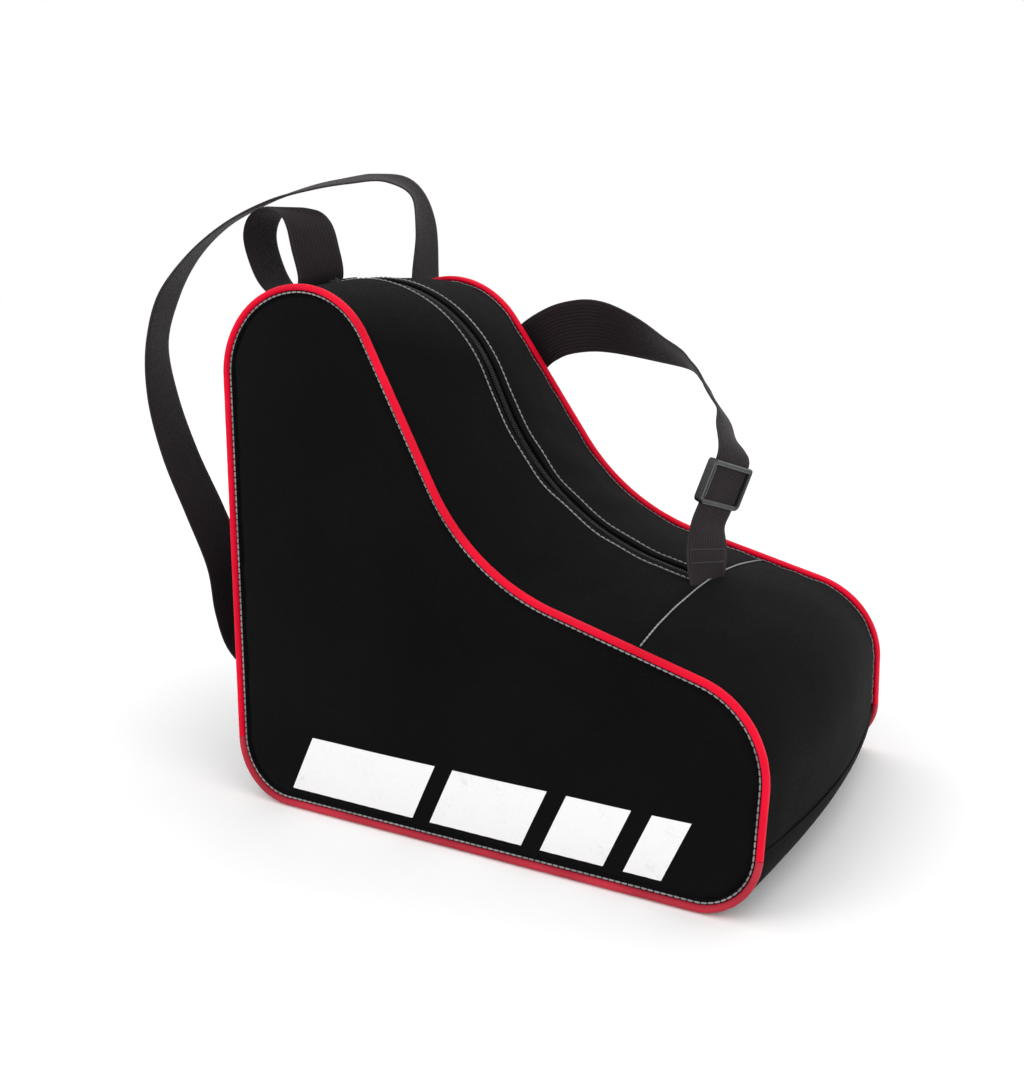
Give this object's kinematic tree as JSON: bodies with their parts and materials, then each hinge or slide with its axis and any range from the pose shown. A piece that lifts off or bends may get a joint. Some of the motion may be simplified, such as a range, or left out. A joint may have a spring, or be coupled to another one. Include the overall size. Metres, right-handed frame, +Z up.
{
  "type": "skate bag",
  "caption": "Boot-shaped padded bag for skates: leaning side panels with piped seams, a zip over the top, a shoulder strap with a sliding adjuster and a grab loop.",
  "frame": {"origin": "middle of the flat base, on the surface the bag stands on", "axes": "+X towards the toe, +Y towards the side the strap hangs on (the right), +Z up"},
  "size_m": [0.5191, 0.3084, 0.4235],
  "materials": {
    "shell_cloth": "matte coated weave, black",
    "lining_cloth": "plain dark lining cloth",
    "padding_foam": "closed-cell foam, matte",
    "stiff_board": "matte board",
    "piping_bright": "bright red covered cord, satin",
    "piping_deep": "duller red covered cord, satin",
    "binding_tape": "woven tape",
    "zip_tape": "woven zip tape",
    "zip_coil": "nylon coil",
    "zip_metal": "blackened metal",
    "zip_hardware": "black painted metal, satin",
    "webbing": "ribbed polypropylene webbing",
    "adjuster_plastic": "moulded black plastic, satin",
    "printed_mark": "flat white print"
  },
  "bodies": {
    "bag": {"side_panel_left": "shell_cloth", "side_panel_right": "shell_cloth", "side_foam_left": "padding_foam", "side_foam_right": "padding_foam", "side_lining_left": "lining_cloth", "side_lining_right": "lining_cloth", "gusset_left": "shell_cloth", "gusset_right": "shell_cloth", "gusset_lining_left": "lining_cloth", "gusset_lining_right": "lining_cloth", "toe_panel": "shell_cloth", "toe_lining": "lining_cloth", "heel_panel": "shell_cloth", "heel_lining": "lining_cloth", "base_panel": "shell_cloth", "base_board": "stiff_board", "base_lining": "lining_cloth", "piping_left_upper": "piping_bright", "piping_left_base": "piping_deep", "piping_right_upper": "piping_bright", "piping_right_base": "piping_deep", "seam_binding_left": "binding_tape", "seam_binding_right": "binding_tape", "zip_tape_left": "zip_tape", "zip_tape_right": "zip_tape", "zip_coil_left": "zip_coil", "zip_coil_right": "zip_coil", "zip_stop_front": "zip_metal", "zip_stop_rear": "zip_metal", "shoulder_strap": "webbing", "strap_anchor_patch": "webbing", "side_mark": "printed_mark"},
    "zip_slider": {"zip_slider": "zip_hardware"},
    "zip_puller": {"zip_puller": "zip_hardware"},
    "strap_adjuster": {"strap_adjuster": "adjuster_plastic"},
    "grab_loop": {"grab_loop": "webbing"}
  },
  "joints": [
    {"name": "zip_slider_travel", "type": "hinge", "parent": "bag", "child": "zip_slider", "pos_m": [-0.147, 0, 0.235], "axis": [0, 1, 0], "range_deg": [0, 75]},
    {"name": "zip_puller_flip", "type": "hinge", "parent": "zip_slider", "child": "zip_puller", "pos_m": [-0.1821, 0, 0.34304], "axis": [0, 1, 0], "range_deg": [-75, 0]},
    {"name": "adjuster_slide", "type": "slide", "parent": "bag", "child": "strap_adjuster", "axis": [0.2693, 0.2195, 0.9377], "range_m": [-0.013, 0]},
    {"name": "grab_loop_flop", "type": "hinge", "parent": "bag", "child": "grab_loop", "pos_m": [-0.204, 0, 0.3265], "axis": [0, 1, 0], "range_deg": [-25, 0]}
  ]
}
